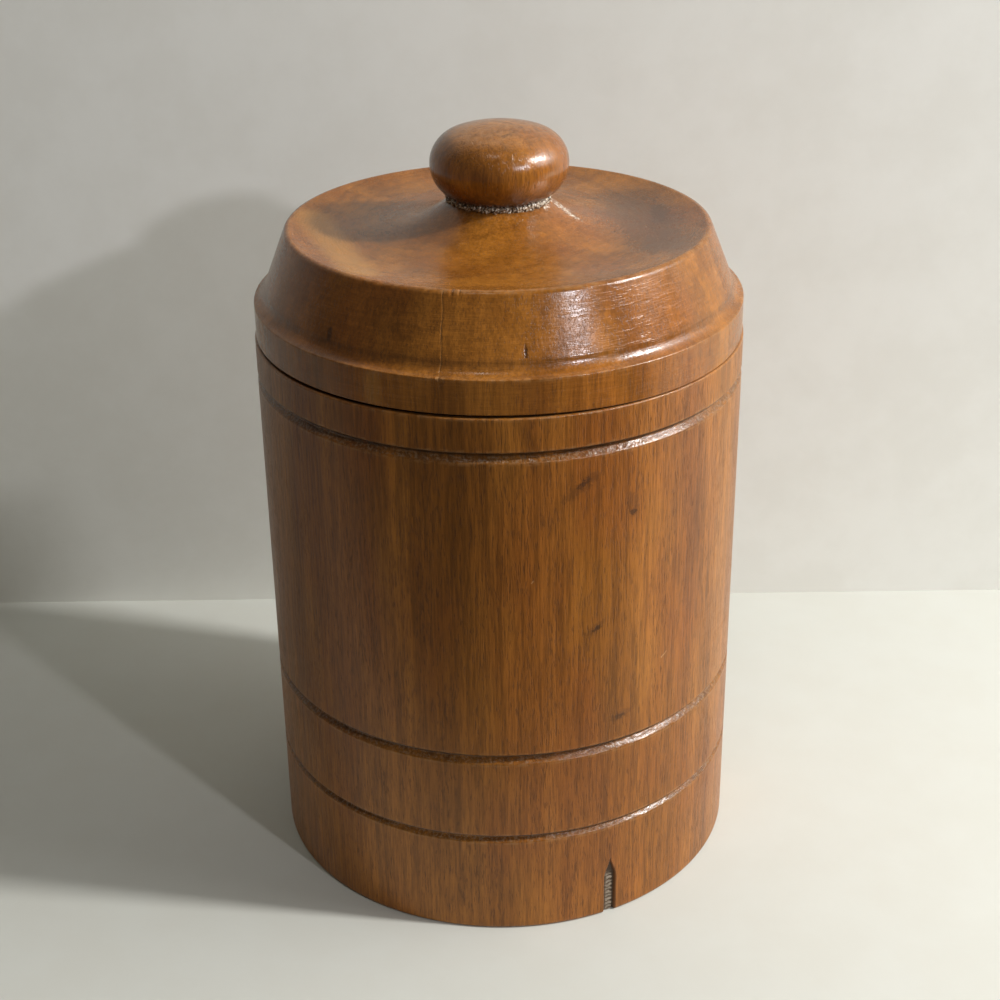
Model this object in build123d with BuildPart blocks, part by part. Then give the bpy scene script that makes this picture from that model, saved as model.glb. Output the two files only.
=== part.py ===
from build123d import *
from math import cos, radians, sin, sqrt
import os

# A turned wooden jar: a deep cup, a push-fit lid and a bun-shaped knob.
# Millimetres, +Z up, origin at the centre of the underside, front towards -Y.

os.makedirs("parts", exist_ok=True)

# Cup, outside
wall_radius = 50.0
seam_height = 116.5
foot_chamfer = 0.6
rim_chamfer = 0.5

# Cup, inside
wall_thickness = 7.5
floor_thickness = 10.0
bore_corner_radius = 6.0
bore_lip_chamfer = 0.6

# Turned lines round the cup: height of the middle, width at the surface, depth
upper_line_drop = 7.9
turned_lines = {
    "lower": (22.9, 1.6, 0.8),
    "middle": (42.3, 2.1, 1.0),
    "upper": (seam_height - upper_line_drop, 2.1, 1.0),
}
line_floor_width = 0.4

# Shrinkage check that opens in the foot, to the right of the front
check_angle = 25.8
check_height = 14.5
check_shoulder_height = 9.8
check_width = 2.6
check_shoulder_width = 2.3
check_depth = 1.3

# Lid, outside: a plain band, a small cove above its edge and a sloping skirt
band_setback = 0.3
band_height = 7.4
band_foot_chamfer = 0.25
ridge_chamfer = 0.2
cove_rise = 2.7
cove_inset = 2.4
cove_radius = 3.2
skirt_height = 11.9
skirt_inset = 4.7
top_edge_chamfer = 0.7

# Lid, top: a shallow dish that sweeps up to a boss under the knob
dish_depth = 1.9
dish_inset = 12.6
sweep_reach = 10.5
boss_rise = 4.9
boss_margin = 0.5
boss_edge_chamfer = 0.25

# Lid, underside: a spigot that drops into the bore, hollowed out inside
lid_top_thickness = 9.6
spigot_clearance = 0.3
spigot_length = 7.0
spigot_wall = 5.5
spigot_chamfer = 0.8
hollow_corner_chamfer = 3.0

# Knob, with a round tenon glued into the lid
knob_radius = 13.9
knob_crown_height = 7.8
knob_under_height = 6.8
knob_side_round = 6.6
knob_seat_radius = 9.0
tenon_radius = 5.0
tenon_length = 11.0
tenon_chamfer = 0.7
tenon_clearance = 0.05
socket_end_gap = 1.0

# Heights and radii that follow from the sizes above
bore_radius = wall_radius - wall_thickness
band_radius = wall_radius - band_setback
ridge_height = seam_height + band_height
skirt_foot_height = ridge_height + cove_rise
skirt_foot_radius = band_radius - cove_inset
lid_edge_height = skirt_foot_height + skirt_height
lid_edge_radius = skirt_foot_radius - skirt_inset
boss_height = lid_edge_height + boss_rise
spigot_radius = bore_radius - spigot_clearance
spigot_foot_height = seam_height - spigot_length
hollow_radius = spigot_radius - spigot_wall
boss_radius = knob_seat_radius + boss_margin
waist_height = boss_height + knob_under_height
knob_top_height = waist_height + knob_crown_height

# The dish is one round arc from the lid's edge to the sweep, lowest at dish_radius
dish_radius = lid_edge_radius - dish_inset
dish_low_height = lid_edge_height - dish_depth
dish_arc_radius = (dish_inset**2 + dish_depth**2) / (2 * dish_depth)
sweep_radius = boss_radius + sweep_reach
sweep_drop = sqrt(dish_arc_radius**2 - (dish_radius - sweep_radius) ** 2)
sweep_height = dish_low_height + dish_arc_radius - sweep_drop

hollow_height = dish_low_height - lid_top_thickness

# The crown is a flat arc over the middle that meets the arc of the knob's side, tangent
side_centre_radius = knob_radius - knob_side_round
crown_arc_radius = (side_centre_radius**2 + knob_crown_height**2 - knob_side_round**2) / (
    2 * (knob_crown_height - knob_side_round)
)
crown_centre_height = knob_top_height - crown_arc_radius
crown_reach = crown_arc_radius / (crown_arc_radius - knob_side_round)
crown_meet_radius = side_centre_radius * crown_reach
crown_meet_height = crown_centre_height + (waist_height - crown_centre_height) * crown_reach

# The underside's arc runs from the seat to the waist and is upright at the waist
knob_overhang = knob_radius - knob_seat_radius
under_arc_radius = (knob_overhang**2 + knob_under_height**2) / (2 * knob_overhang)
tenon_foot_height = boss_height - tenon_length

# How near a corner has to be to the radius and height that name it
corner_tolerance = 0.01


def corner(section, radius, height):
    """The corner of a half section at this radius and height."""
    at_radius = section.vertices().filter_by(lambda v: abs(v.X - radius) < corner_tolerance)
    return at_radius.filter_by(lambda v: abs(v.Y - height) < corner_tolerance)


with BuildPart() as cup:
    # Turned and bored from one block, grain upright
    with BuildSketch(Plane.XZ) as cup_section:
        with BuildLine():
            Polyline(
                (0, 0),
                (wall_radius, 0),
                (wall_radius, seam_height),
                (bore_radius, seam_height),
                (bore_radius, floor_thickness),
                (0, floor_thickness),
                close=True,
            )
        make_face()
        chamfer(corner(cup_section, wall_radius, 0), foot_chamfer)
        fillet(corner(cup_section, bore_radius, floor_thickness), bore_corner_radius)
        chamfer(corner(cup_section, wall_radius, seam_height), rim_chamfer)
        chamfer(corner(cup_section, bore_radius, seam_height), bore_lip_chamfer)
    revolve(axis=Axis.Z)

    # Turned lines: V grooves with a narrow flat at the bottom, cut from outside the wall
    for line_height, line_width, line_depth in turned_lines.values():
        outer_width = 2 * line_width - line_floor_width
        with BuildSketch(Plane.XZ):
            with BuildLine():
                Polyline(
                    (wall_radius - line_depth, line_height - line_floor_width / 2),
                    (wall_radius - line_depth, line_height + line_floor_width / 2),
                    (wall_radius + line_depth, line_height + outer_width / 2),
                    (wall_radius + line_depth, line_height - outer_width / 2),
                    close=True,
                )
            make_face()
        revolve(axis=Axis.Z, mode=Mode.SUBTRACT)

    # The check is open at the foot and runs up the grain to a point
    across = Vector(cos(radians(check_angle)), sin(radians(check_angle)), 0)
    outward = Vector(sin(radians(check_angle)), -cos(radians(check_angle)), 0)
    with BuildSketch(Plane(origin=outward * wall_radius, x_dir=across, z_dir=outward)):
        with BuildLine():
            Spline(
                (-check_width / 2, 0),
                (-check_shoulder_width / 2, check_shoulder_height),
                (0, check_height),
            )
            Spline(
                (0, check_height),
                (check_shoulder_width / 2, check_shoulder_height),
                (check_width / 2, 0),
            )
            Line((check_width / 2, 0), (-check_width / 2, 0))
        make_face()
    extrude(amount=check_depth, both=True, mode=Mode.SUBTRACT)


with BuildPart() as lid:
    # Half the section: seam, band, cove, skirt, dished top, boss, hollow and spigot
    with BuildSketch(Plane.XZ) as lid_section:
        with BuildLine():
            Line((spigot_radius, seam_height), (band_radius, seam_height))
            Line((band_radius, seam_height), (band_radius, ridge_height))
            RadiusArc(
                (band_radius, ridge_height),
                (skirt_foot_radius, skirt_foot_height),
                cove_radius,
            )
            Line(
                (skirt_foot_radius, skirt_foot_height),
                (lid_edge_radius, lid_edge_height),
            )
            dish = ThreePointArc(
                (lid_edge_radius, lid_edge_height),
                (dish_radius, dish_low_height),
                (sweep_radius, sweep_height),
            )
            TangentArc(
                (sweep_radius, sweep_height),
                (boss_radius, boss_height),
                tangent=dish % 1,
            )
            Polyline(
                (boss_radius, boss_height),
                (0, boss_height),
                (0, hollow_height),
                (hollow_radius, hollow_height),
                (hollow_radius, spigot_foot_height),
                (spigot_radius, spigot_foot_height),
                (spigot_radius, seam_height),
            )
        make_face()
        chamfer(corner(lid_section, band_radius, seam_height), band_foot_chamfer)
        chamfer(corner(lid_section, band_radius, ridge_height), ridge_chamfer)
        chamfer(corner(lid_section, lid_edge_radius, lid_edge_height), top_edge_chamfer)
        chamfer(corner(lid_section, boss_radius, boss_height), boss_edge_chamfer)
        chamfer(corner(lid_section, hollow_radius, hollow_height), hollow_corner_chamfer)
        chamfer(corner(lid_section, spigot_radius, spigot_foot_height), spigot_chamfer)
    revolve(axis=Axis.Z)

    # Blind socket for the knob's tenon
    with Locations((0, 0, boss_height)):
        Hole(tenon_radius + tenon_clearance, depth=tenon_length + socket_end_gap)


with BuildPart() as knob:
    # A bun of three round arcs, cut flat where it seats on the boss
    with BuildSketch(Plane.XZ) as knob_section:
        with BuildLine():
            RadiusArc(
                (knob_seat_radius, boss_height),
                (knob_radius, waist_height),
                -under_arc_radius,
            )
            side = TangentArc(
                (knob_radius, waist_height),
                (crown_meet_radius, crown_meet_height),
                tangent=(0, 1),
            )
            TangentArc(
                (crown_meet_radius, crown_meet_height),
                (0, knob_top_height),
                tangent=side % 1,
            )
            Polyline(
                (0, knob_top_height),
                (0, tenon_foot_height),
                (tenon_radius, tenon_foot_height),
                (tenon_radius, boss_height),
                (knob_seat_radius, boss_height),
            )
        make_face()
        chamfer(corner(knob_section, tenon_radius, tenon_foot_height), tenon_chamfer)
    revolve(axis=Axis.Z)


cup.part.label = "cup"
lid.part.label = "lid"
knob.part.label = "knob"
export_step(cup.part, "parts/cup.step")
export_step(lid.part, "parts/lid.step")
export_step(knob.part, "parts/knob.step")

print("overall height", knob_top_height, "mm, width", 2 * wall_radius, "mm")
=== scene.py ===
import math

import bpy
import numpy as np
from mathutils import Matrix, Vector, noise


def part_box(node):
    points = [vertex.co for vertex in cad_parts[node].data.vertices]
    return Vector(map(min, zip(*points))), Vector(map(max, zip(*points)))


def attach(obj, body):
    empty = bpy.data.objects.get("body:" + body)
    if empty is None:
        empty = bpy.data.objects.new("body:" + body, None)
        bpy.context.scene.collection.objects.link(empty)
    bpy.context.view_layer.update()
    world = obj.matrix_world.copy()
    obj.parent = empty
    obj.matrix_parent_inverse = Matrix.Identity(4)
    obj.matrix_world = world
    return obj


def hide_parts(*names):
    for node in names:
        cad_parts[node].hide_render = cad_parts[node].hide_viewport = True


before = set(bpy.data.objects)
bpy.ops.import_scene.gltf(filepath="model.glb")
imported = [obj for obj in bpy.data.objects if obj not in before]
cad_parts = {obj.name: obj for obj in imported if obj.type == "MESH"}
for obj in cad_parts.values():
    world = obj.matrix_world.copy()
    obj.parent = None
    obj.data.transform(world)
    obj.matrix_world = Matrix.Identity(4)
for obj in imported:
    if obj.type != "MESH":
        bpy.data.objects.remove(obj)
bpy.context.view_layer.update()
mm = 0.001                      # the script's own sizes are in millimetres
print("stage 1: frame loaded")


# Radius, lowest and highest place of a node, read from the frame
def nodeSpan(node):
    low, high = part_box(node)
    return high[0] / mm, low[2] / mm, high[2] / mm


cupRadius, cupFoot, seamHeight = nodeSpan("cup")
bandRadius, spigotFoot, bossHeight = nodeSpan("lid")
knobRadius, tenonFoot, knobTop = nodeSpan("knob")


# Outlines: a turned piece is one half section, a list of (radius, height)

# A round between two straight edges, as a few points
def roundCorner(before, here, after, size, steps=5):
    before, here, after = (np.array(p, float) for p in (before, here, after))
    inward = (before - here) / np.linalg.norm(before - here)
    outward = (after - here) / np.linalg.norm(after - here)
    halfAngle = math.acos(max(-1.0, min(1.0, float(inward @ outward)))) / 2
    reach = size / math.tan(halfAngle)
    middle = here + (inward + outward) / np.linalg.norm(inward + outward) * size / math.sin(halfAngle)
    start = here + inward * reach - middle
    end = here + outward * reach - middle
    a0 = math.atan2(start[1], start[0])
    turn = (math.atan2(end[1], end[0]) - a0 + math.pi) % (2 * math.pi) - math.pi
    return [
        tuple(middle + size * np.array([math.cos(a0 + turn * k / steps), math.sin(a0 + turn * k / steps)]))
        for k in range(steps + 1)
    ]


# Corners are (radius, height) or (radius, height, size of the round there)
def roundedOutline(corners):
    points = []
    for k, corner in enumerate(corners):
        if len(corner) == 3 and 0 < k < len(corners) - 1:
            points += roundCorner(corners[k - 1][:2], corner[:2], corners[k + 1][:2], corner[2])
        else:
            points.append(tuple(corner[:2]))
    return points


# Long edges get rows that are close together at their ends and wide in the middle
def withRows(points, fine=0.18, coarse=1.6, growth=1.55):
    rows = [points[0]]
    for a, b in zip(points[:-1], points[1:]):
        a, b = np.array(a), np.array(b)
        length = float(np.linalg.norm(b - a))
        half, step = [], fine
        while sum(half) + step < length / 2:
            half.append(step)
            step = min(step * growth, coarse)
        stops = list(np.cumsum(half))
        stops += [length - s for s in reversed(stops)]
        rows += [tuple(a + (b - a) * s / length) for s in stops if s < length - 1e-6]
        rows.append(tuple(b))
    return rows


# Part of a circle in the section, from one angle to another in radians
def arcPoints(centre, radius, start, end, steps):
    angles = np.linspace(start, end, steps + 1)
    return [(centre[0] + radius * math.cos(a), centre[1] + radius * math.sin(a)) for a in angles]


# The arc through two points with this radius, bulging towards the axis and down
def hollowArc(a, b, radius, steps):
    a, b = np.array(a, float), np.array(b, float)
    chord = b - a
    span = np.linalg.norm(chord)
    side = np.array([-chord[1], chord[0]]) / span
    if side[0] < 0:
        side = -side
    centre = (a + b) / 2 + side * math.sqrt(radius**2 - span**2 / 4)
    a0 = math.atan2(*(a - centre)[::-1])
    a1 = math.atan2(*(b - centre)[::-1])
    turn = (a1 - a0 + math.pi) % (2 * math.pi) - math.pi
    return arcPoints(centre, radius, a0, a0 + turn, steps)


# Columns round the axis, in radians from the front towards the right, closer together in some places
def columnAngles(count, closeUps=()):
    angles = set(np.round(np.linspace(-math.pi, math.pi, count, endpoint=False), 6))
    for middle, halfWidth, step in closeUps:
        low, high = math.radians(middle - halfWidth), math.radians(middle + halfWidth)
        angles = {a for a in angles if not low <= a <= high}
        angles |= set(np.round(np.arange(low, high, math.radians(step)), 6))
    return np.array(sorted(angles))


# A turned mesh. shape() may move the points, and fills the masks that the finish reads
def turnPiece(name, rows, angles, shape=None, masks=()):
    rows = np.array(rows)
    radii = np.repeat(rows[:, 0:1], len(angles), axis=1)
    heights = np.repeat(rows[:, 1:2], len(angles), axis=1)
    turns = np.repeat(angles[None, :], len(rows), axis=0).copy()
    values = {label: np.zeros_like(radii) for label in masks}
    if shape:
        shape(radii, heights, turns, values)
    xs, ys = radii * np.sin(turns), -radii * np.cos(turns)
    inner = [k for k in range(len(rows)) if rows[k, 0] > 1e-6]
    grid = np.stack([xs, ys, heights], -1)[inner] * mm
    count = len(angles)
    points = [tuple(p) for p in grid.reshape(-1, 3)]
    faces = []
    for k in range(len(inner) - 1):
        for j in range(count):
            n = (j + 1) % count
            faces.append((k * count + j, k * count + n, (k + 1) * count + n, (k + 1) * count + j))
    firstPole = len(points)
    points.append((0.0, 0.0, rows[0, 1] * mm))
    lastPole = len(points)
    points.append((0.0, 0.0, rows[-1, 1] * mm))
    lastRow = (len(inner) - 1) * count
    for j in range(count):
        n = (j + 1) % count
        faces.append((firstPole, n, j))
        faces.append((lastPole, lastRow + j, lastRow + n))
    mesh = bpy.data.meshes.new(name)
    mesh.from_pydata(points, [], faces)
    for label, grids in values.items():
        store = mesh.attributes.new(label, "FLOAT", "POINT")
        flat = np.concatenate([grids[inner].reshape(-1), [0.0, 0.0]]).astype(np.float32)
        store.data.foreach_set("value", flat)
    mesh.polygons.foreach_set("use_smooth", [True] * len(mesh.polygons))
    mesh.validate()
    mesh.update()
    piece = bpy.data.objects.new(name, mesh)
    bpy.context.collection.objects.link(piece)
    return piece


# 0 below low, 1 above high, smooth between
def ramp(low, high, value):
    t = np.clip((value - low) / (high - low), 0, 1)
    return t * t * (3 - 2 * t)


# Smooth random wandering round the axis, the same every run
def wander(turns, heights, size, seed):
    flat = np.stack([np.sin(turns) * size, -np.cos(turns) * size, heights], -1).reshape(-1, 3)
    shift = Vector((seed * 7.3, seed * 3.1, seed * 5.7))
    values = [noise.noise(Vector(p) + shift) for p in flat]
    return np.array(values).reshape(turns.shape)


# The cup
cup = {
    "wall": 7.5,                # wall thickness
    "floor": 10.0,              # floor thickness
    "boreRound": 6.0,           # corner between bore and floor
    "lipRound": 0.5,
    "footRound": 0.75,
    "rimRound": 0.35,
    "lines": [                  # height of the middle, width, depth
        (22.9, 1.8, 0.75),
        (42.3, 2.3, 0.95),
        (108.6, 2.3, 0.95),
    ],
    "lineFloor": 0.4,           # width of the flat at the bottom of a line
    "lineLean": 0.05,           # share of its width by which the bottom lies above the middle
    "lineWaver": 0.08,          # slow unevenness of the lines' surface
    "lineTorn": 0.07,           # and the fine, torn part of it
    "lipShine": 0.75,           # broken shiny edge round the rim, its pale colour a painted highlight
    "columns": 560,
    "checkAngle": 25.8,         # degrees from the front, towards the right
    "checkHeight": 14.5,
    "checkShoulder": 9.0,
    "checkWidth": 2.9,
    "checkDepth": 0.85,
    "checkRibs": 0.93,          # spacing of the torn ribs inside it
    "ribHeight": 0.5,
    "ribTop": (9.2, 10.6),      # the ribs fade out between these heights
    "checkRows": 0.22,          # spacing of the mesh rows over the check
    "checkColumns": (2.4, 0.13),    # half width of the fine columns there and their step, degrees
}

boreRadius = cupRadius - cup["wall"]
lineHalf = cup["lineFloor"] / 2
cupCorners = [(0, 0), (cupRadius, 0, cup["footRound"])]
for middle, width, depth in cup["lines"]:
    lowest = middle + width * cup["lineLean"]
    cupCorners += [
        (cupRadius, middle - width / 2, 0.5),
        (cupRadius - depth, lowest - lineHalf, 0.12),
        (cupRadius - depth, lowest + lineHalf, 0.12),
        (cupRadius, middle + width / 2, 0.18),
    ]
cupCorners += [
    (cupRadius, seamHeight, cup["rimRound"]),
    (boreRadius, seamHeight, cup["lipRound"]),
    (boreRadius, cup["floor"], cup["boreRound"]),
    (0, cup["floor"]),
]


def shapeCup(radii, heights, turns, masks):
    outside = radii > boreRadius + cup["wall"] * 0.6
    # turned lines: a torn, uneven surface with dark deposits, painted shade on the upper flank and pale
    # flecks with a painted sheen on the lower flank
    for k, (middle, width, depth) in enumerate(cup["lines"]):
        rows = np.abs(heights[:, 0] - middle) < width * 0.75
        rows &= outside[:, 0]
        near = np.ix_(rows)[0]
        inLine = ramp(width * 0.62, width * 0.34, np.abs(heights[near] - middle))
        slow = wander(turns[near], heights[near], 9.0, k + 1)
        torn = wander(turns[near], heights[near] * 2.0, 55.0, k + 4)
        radii[near] -= inLine * (cup["lineWaver"] * slow + cup["lineTorn"] * torn)
        radii[near] = np.minimum(radii[near], cupRadius)
        upper = ramp(-0.1, 0.3, heights[near] - middle - width * cup["lineLean"])
        # the upper flank gets painted shade on top of the even darkening; the lower flank gets pale flecks,
        # partly a painted sheen
        masks["grimeAndShade"][near] = np.maximum(masks["grimeAndShade"][near], inLine * (0.5 + 0.5 * upper))
        masks["dustAndSheen"][near] = np.maximum(masks["dustAndSheen"][near], inLine * (1 - upper))
    # the check in the foot
    across = (turns - math.radians(cup["checkAngle"])) * cupRadius
    above = ramp(cup["checkHeight"], cup["checkShoulder"], heights)
    halfWidth = np.maximum(cup["checkWidth"] / 2 * above, 0.02)
    inside = ramp(1.0, 0.7, np.abs(across) / halfWidth) * outside * (heights < cup["checkHeight"])
    uneven = wander(turns, heights, 40.0, 21) * 0.35
    zigzag = np.abs((across / cup["checkWidth"] * 1.6) % 1.0 - 0.5) * 0.5
    ribs = np.abs(((heights + uneven) / cup["checkRibs"] - zigzag) % 1.0 - 0.5) * 2
    ribFoot, ribEnd = cup["ribTop"]
    ribs *= ramp(0.80, 0.45, np.abs(across + 0.1) / halfWidth) * ramp(ribEnd, ribFoot, heights)
    radii -= inside * (cup["checkDepth"] - cup["ribHeight"] * ribs)
    masks["check"][:] = inside
    masks["ribs"][:] = inside * ribs
    # wear: the foot, the rim and the edges of the lines are rubbed lighter
    wear = ramp(1.3, 0.2, heights) + ramp(seamHeight - 0.9, seamHeight - 0.2, heights)
    for middle, width, depth in cup["lines"]:
        wear += ramp(0.55, 0.1, np.abs(np.abs(heights - middle) - width / 2 - 0.1))
    masks["wear"][:] = np.clip(wear, 0, 1) * outside
    masks["inside"][:] = ~outside * 1.0
    # a broken, glossy edge round the rim, with gaps: lower roughness for glints, and its pale colour a
    # painted highlight
    lip = ramp(seamHeight - 0.7, seamHeight - 0.25, heights) * outside * (radii > cupRadius - 0.4)
    broken = ramp(-0.05, 0.25, wander(turns, heights * 0.1, 8.0, 31))
    masks["dustAndSheen"][:] = np.maximum(masks["dustAndSheen"], cup["lipShine"] * lip * broken)
    # painted shade darkens the rim's top face, in the seam under the lid
    inSeam = (heights > seamHeight - 0.2) * ramp(cupRadius - 0.15, cupRadius - 0.5, radii)
    masks["grimeAndShade"][:] = np.maximum(masks["grimeAndShade"], inSeam)


cupRows = withRows(roundedOutline(cupCorners))
checkTop = cup["checkHeight"]
extraRows = [(cupRadius, h) for h in np.arange(1.2, checkTop + 0.6, cup["checkRows"])]
cupRows = [p for p in cupRows if not (p[0] == cupRadius and 1.0 < p[1] < checkTop + 0.7)]
nextRow = next(k for k, p in enumerate(cupRows) if p[0] > cupRadius - 1e-6 and p[1] > checkTop)
cupRows = cupRows[:nextRow] + extraRows + cupRows[nextRow:]
cupAngles = columnAngles(cup["columns"], [(cup["checkAngle"], *cup["checkColumns"])])
cupMasks = ("grimeAndShade", "dustAndSheen", "check", "ribs", "wear", "inside")
cupBody = turnPiece("cupBody", cupRows, cupAngles, shapeCup, cupMasks)
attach(cupBody, "cup")
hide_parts("cup")
print("stage 2: cup turned,", len(cupBody.data.polygons), "faces")


# The lid
lid = {
    "bandHeight": 7.4,
    "coveRise": 2.7,
    "coveInset": 2.4,
    "coveRadius": 3.2,
    "skirtHeight": 11.9,
    "skirtInset": 4.7,
    "bandFootRound": 0.25,
    "ridgeRound": 0.28,
    "edgeRound": 1.1,
    "dishInset": 12.6,
    "dishDepth": 1.9,
    "bossRadius": 9.5,
    "sweepReach": 10.5,
    "spigotGap": 0.3,
    "spigotWall": 5.5,
    "hollowCorner": 3.0,
    "topThickness": 9.6,
    "seamGap": 0.5,             # the band stands off the rim by this much on the left
    "gapMiddle": -75.0,         # degrees, the middle of the gap
    "gapHalf": 75.0,            # and half its width
    "gapFade": (48.0, -5.0),    # past that it is shut here, and fully open here
    "columns": 560,
    "crackAngle": -13.6,        # hairline crack down the skirt
    "crackWidth": 0.16,
    "crackDepth": 0.12,
    "crackLean": -0.0009,       # radians of drift for each millimetre down
    "crackReach": 3.5,          # how far it runs on below the ridge
    "crackColumns": (3.6, 0.11),
    "chips": [                  # angle, width in degrees, depth at the top edge
        (-11.6, 0.8, 0.16),
        (-9.6, 0.4, 0.08),
        (3.0, 0.7, 0.08),
        (-30.0, 1.5, 0.10),
    ],
}

ridgeHeight = seamHeight + lid["bandHeight"]
skirtFoot = (bandRadius - lid["coveInset"], ridgeHeight + lid["coveRise"])
lidEdge = (skirtFoot[0] - lid["skirtInset"], skirtFoot[1] + lid["skirtHeight"])
dishLow = (lidEdge[0] - lid["dishInset"], lidEdge[1] - lid["dishDepth"])
dishArc = (lid["dishInset"] ** 2 + lid["dishDepth"] ** 2) / (2 * lid["dishDepth"])
dishCentre = (dishLow[0], dishLow[1] + dishArc)
sweepRadius = lid["bossRadius"] + lid["sweepReach"]


def dishHeight(radius):
    return dishCentre[1] - math.sqrt(dishArc**2 - (radius - dishCentre[0]) ** 2)


spigotRadius = boreRadius - lid["spigotGap"]
hollowRadius = spigotRadius - lid["spigotWall"]
hollowTop = dishLow[1] - lid["topThickness"]

# the sweep leaves the dish in line with it and rises to the boss on one arc
sweepStart = np.array([sweepRadius, dishHeight(sweepRadius)])
sweepEnd = np.array([lid["bossRadius"], bossHeight])
startSlope = math.atan2(dishCentre[0] - sweepRadius, dishCentre[1] - sweepStart[1])
chordSlope = math.atan2(sweepEnd[1] - sweepStart[1], sweepStart[0] - sweepEnd[0])
sweepArc = float(np.linalg.norm(sweepEnd - sweepStart)) / (2 * math.sin(chordSlope - startSlope))
sweep = hollowArc(sweepStart, sweepEnd, sweepArc, 22)

edgeReach = 2.0                 # where the dish's own arc takes over from the rounded edge
dishStart = lidEdge[0] - edgeReach
dish = [(r, dishHeight(r)) for r in np.linspace(dishStart, sweepRadius, 26)]

under = roundedOutline([
    (0, hollowTop),
    (hollowRadius, hollowTop, lid["hollowCorner"]),
    (hollowRadius, spigotFoot, 0.4),
    (spigotRadius, spigotFoot, 0.7),
    (spigotRadius, seamHeight, 0.15),
    (bandRadius, seamHeight, lid["bandFootRound"]),
    (bandRadius, ridgeHeight, lid["ridgeRound"]),
    (bandRadius - 0.5, ridgeHeight + 0.28),
])
cove = hollowArc((bandRadius, ridgeHeight), skirtFoot, lid["coveRadius"], 12)
edge = roundedOutline([skirtFoot, (lidEdge[0], lidEdge[1], lid["edgeRound"]), dish[0]])
lidRows = withRows(under[:-1] + cove[2:-1] + edge[:-1] + dish[:-1] + sweep + [(0, bossHeight)])


def shapeLid(radii, heights, turns, masks):
    outer = radii > spigotRadius + 0.05
    # the seam gap: open on the left, closed on the right
    fromMiddle = np.abs(turns - math.radians(lid["gapMiddle"])) - math.radians(lid["gapHalf"])
    shut, fullyOpen = (math.radians(a) for a in lid["gapFade"])
    gap = lid["seamGap"] * ramp(shut, fullyOpen, fromMiddle)
    low = ramp(seamHeight + 3.0, seamHeight, heights) * outer * (heights > seamHeight - 0.01)
    heights += gap * low
    # chips along the top edge
    nearEdge = ramp(1.6, 0.2, np.hypot(radii - lidEdge[0] + 0.4, heights - lidEdge[1] + 0.3))
    for angle, width, depth in lid["chips"]:
        spread = np.abs(np.degrees(turns) - angle) / width
        radii -= nearEdge * ramp(1.0, 0.1, spread) * depth * 0.7
        heights -= nearEdge * ramp(1.0, 0.1, spread) * depth
    # hairline crack from the top edge down over the ridge into the band
    drift = 0.25 * np.sin(heights * 0.9) + 0.12 * np.sin(heights * 2.7)
    middle = math.radians(lid["crackAngle"]) + (heights - lidEdge[1]) * lid["crackLean"]
    offset = np.abs((turns - middle) * radii - drift * 0.4)
    crackEnd = ridgeHeight - lid["crackReach"]
    onSkirt = outer * (heights > crackEnd) * (radii > lidEdge[0] - 0.6)
    strength = ramp(crackEnd, crackEnd + 5.0, heights)
    broken = 0.45 + 0.55 * np.clip(np.sin(heights * 5.3) + np.sin(heights * 8.9 + 1.3), 0, 1)
    line = ramp(lid["crackWidth"], 0.02, offset) * onSkirt * strength * broken
    radii -= line * lid["crackDepth"]
    masks["crack"][:] = line
    # darker in the foot of the cove, and painted shade round the boss under the knob
    masks["grimeAndShade"][:] = 0.35 * ramp(1.6, 0.2, np.hypot(radii - skirtFoot[0], heights - skirtFoot[1] + 0.6))
    onTop = heights > dishLow[1] - 1.0
    boss = ramp(lid["bossRadius"] + 1.6, lid["bossRadius"] + 0.2, radii) * onTop
    masks["grimeAndShade"][:] = np.maximum(masks["grimeAndShade"], boss)
    # painted shade in the seam under the band
    inSeam = outer * (heights < seamHeight + gap + 0.15)
    inSeam = inSeam * ramp(bandRadius - 0.1, bandRadius - 0.4, radii)
    masks["grimeAndShade"][:] = np.maximum(masks["grimeAndShade"], inSeam)
    # round the boss: lower roughness for glints, and pale flecks that are partly a painted glint
    masks["dustAndSheen"][:] = 0.7 * ramp(lid["bossRadius"] + 7.0, lid["bossRadius"] + 0.5, radii) * onTop
    wear = ramp(1.1, 0.2, np.hypot(radii - lidEdge[0] + 0.2, heights - lidEdge[1] + 0.2))
    wear += ramp(0.8, 0.15, np.hypot(radii - bandRadius, heights - ridgeHeight))
    masks["wear"][:] = np.clip(wear, 0, 1)
    masks["inside"][:] = (~outer & (heights < dishLow[1] - 1.0)) * 1.0


lidAngles = columnAngles(lid["columns"], [(lid["crackAngle"] + 1.5, *lid["crackColumns"])])
lidMasks = ("grimeAndShade", "dustAndSheen", "crack", "wear", "inside")
lidBody = turnPiece("lidBody", lidRows, lidAngles, shapeLid, lidMasks)
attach(lidBody, "lid")
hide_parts("lid")
print("stage 3: lid turned,", len(lidBody.data.polygons), "faces")


# The knob
knob = {
    "waist": 6.8,               # height of the widest place over the boss
    "sideRound": 6.6,
    "seat": 9.0,                # radius where it sits on the boss
    "offCentre": 0.45,          # it was glued in a little to the right
    "unevenness": 0.10,         # how far it is from a true round
    "underShadeTop": 5.2,            # painted shade darkens the underside up to here
    "columns": 260,
}

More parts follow.
